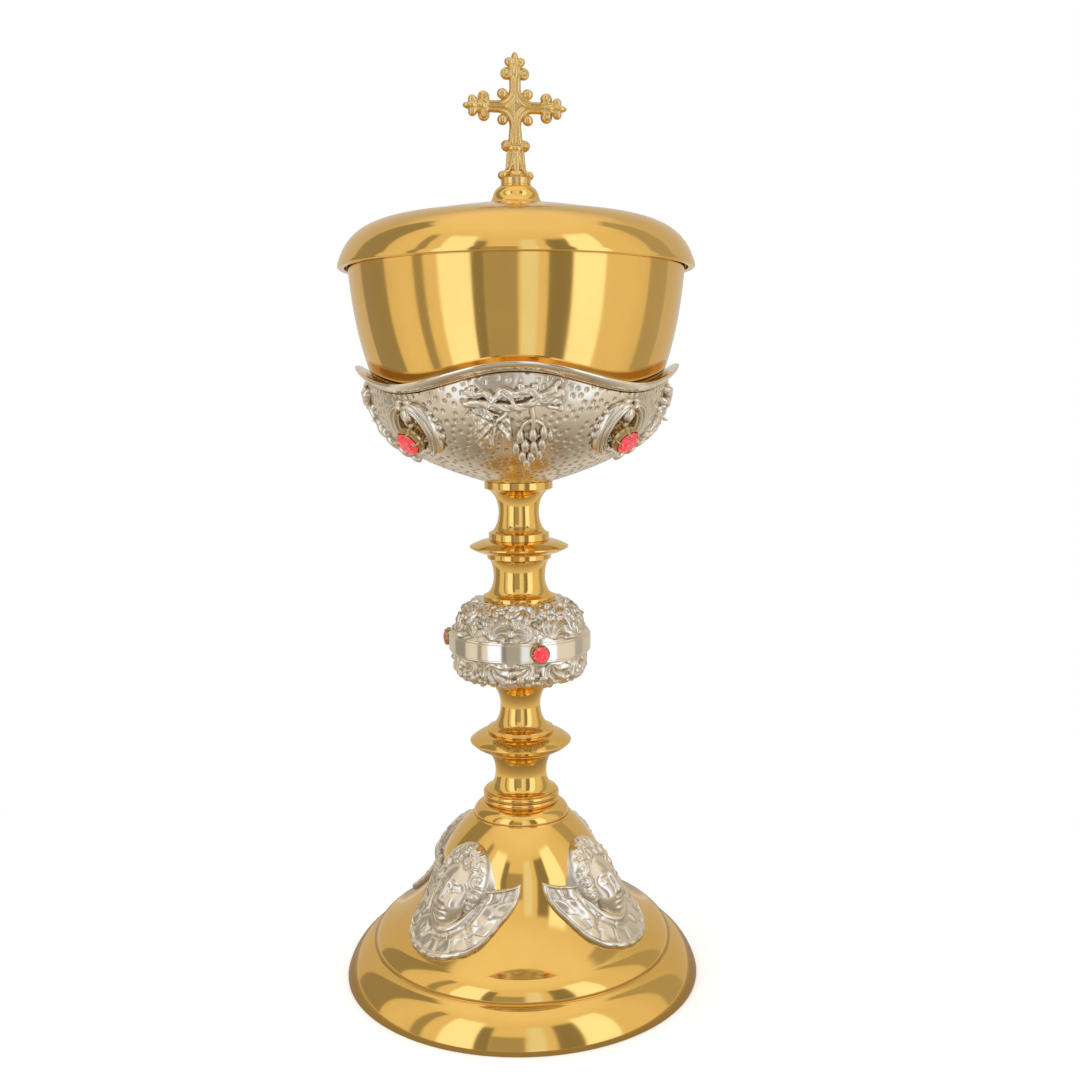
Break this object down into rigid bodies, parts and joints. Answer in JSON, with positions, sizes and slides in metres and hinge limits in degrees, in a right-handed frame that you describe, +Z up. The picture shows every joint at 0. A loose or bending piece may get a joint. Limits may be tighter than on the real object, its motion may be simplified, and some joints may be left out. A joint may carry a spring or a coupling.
{
  "type": "ciborium",
  "caption": "Footed ciborium with a bell foot, turned stem and knop, gilt bowl in a silver false cup with vine and wheat ornament, and a domed lift-off lid with a cross.",
  "frame": {"origin": "centre of the foot's rim, on the surface that the ciborium stands on", "axes": "+Z up the stem towards the cross, -Y towards the viewer of the picture, +X to the viewer's right"},
  "size_m": [0.122, 0.122, 0.31],
  "materials": {
    "gilt_brass": "polished gilt",
    "gilt_setting": "gilt, aged in the corners",
    "silver": "silver plated, oxidised in the hollows",
    "steel": "plain",
    "red_glass": "faceted"
  },
  "bodies": {
    "vessel": {"foot_shell": "gilt_brass", "cherub_head_1": "silver", "cherub_head_2": "silver", "cherub_head_3": "silver", "cherub_head_4": "silver", "tie_rod": "steel", "foot_washer": "steel", "foot_nut": "steel", "foot_collar": "gilt_brass", "lower_spool": "gilt_brass", "lower_disc": "gilt_brass", "mid_spool": "gilt_brass", "upper_spool": "gilt_brass", "upper_disc": "gilt_brass", "top_spool": "gilt_brass", "knop_lower_shell": "silver", "knop_band": "silver", "knop_upper_shell": "silver", "knop_bezel_1": "gilt_setting", "knop_bezel_2": "gilt_setting", "knop_bezel_3": "gilt_setting", "knop_stone_1": "red_glass", "knop_stone_2": "red_glass", "knop_stone_3": "red_glass", "calyx": "silver", "calyx_rim": "silver", "grape_spray_1": "silver", "grape_spray_2": "silver", "grape_spray_3": "silver", "grape_spray_4": "silver", "wheat_wreath_1": "silver", "wheat_wreath_2": "silver", "wheat_wreath_3": "silver", "wheat_wreath_4": "silver", "cup_setting_1": "gilt_setting", "cup_setting_2": "gilt_setting", "cup_setting_3": "gilt_setting", "cup_setting_4": "gilt_setting", "cup_stone_1": "red_glass", "cup_stone_2": "red_glass", "cup_stone_3": "red_glass", "cup_stone_4": "red_glass", "bowl_boss": "gilt_brass", "bowl": "gilt_brass"},
    "lid": {"lid_shell": "gilt_brass", "lid_ring": "gilt_brass", "cross_socket": "gilt_brass", "lid_nut": "steel", "cross": "gilt_brass"}
  },
  "joints": [
    {"name": "lid_lift", "type": "slide", "parent": "vessel", "child": "lid", "axis": [0, 0, 1], "range_m": [0, 0.12]}
  ]
}
